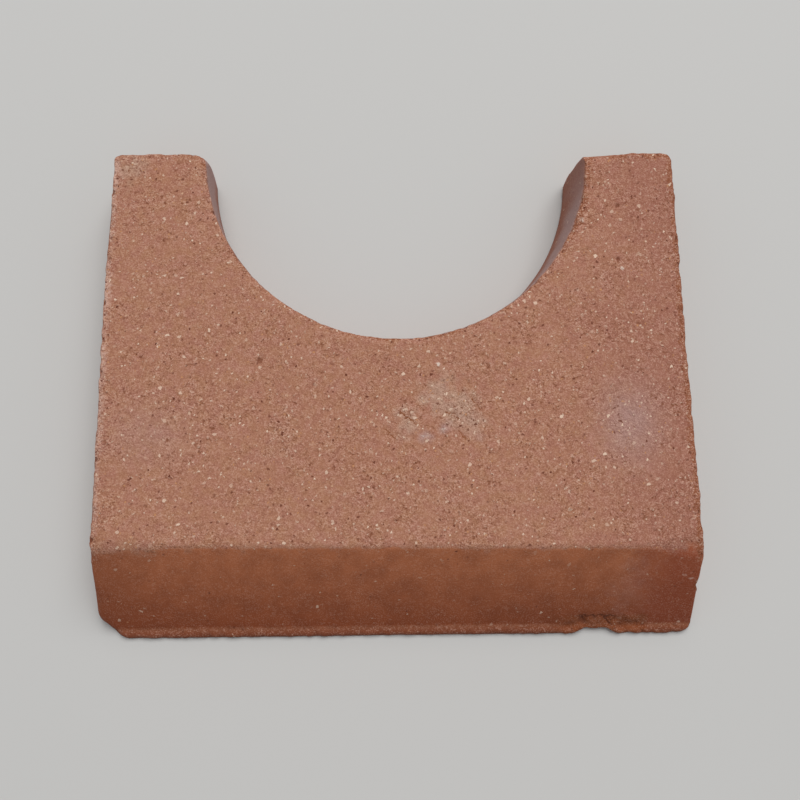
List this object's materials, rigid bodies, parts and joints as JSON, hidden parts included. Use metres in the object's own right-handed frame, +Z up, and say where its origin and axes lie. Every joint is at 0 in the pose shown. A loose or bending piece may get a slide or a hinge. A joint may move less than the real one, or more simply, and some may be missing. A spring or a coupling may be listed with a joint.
{
  "type": "notched clay brick",
  "caption": "Flat fired-clay brick with a half-round notch in one long side and a bevelled opposite edge, for lining a stove or fitting round a flue pipe.",
  "frame": {"origin": "middle of the bounding rectangle of the underside", "axes": "+X along the brick's length, +Y towards the notched rear, +Z up from the broad underside that it lies on"},
  "size_m": [0.23, 0.188, 0.03],
  "materials": {
    "fired_clay": "matt, coarse-grained fired clay with pale and dark grog grains"
  },
  "bodies": {
    "root": {"notched_brick": "fired_clay"}
  },
  "joints": []
}
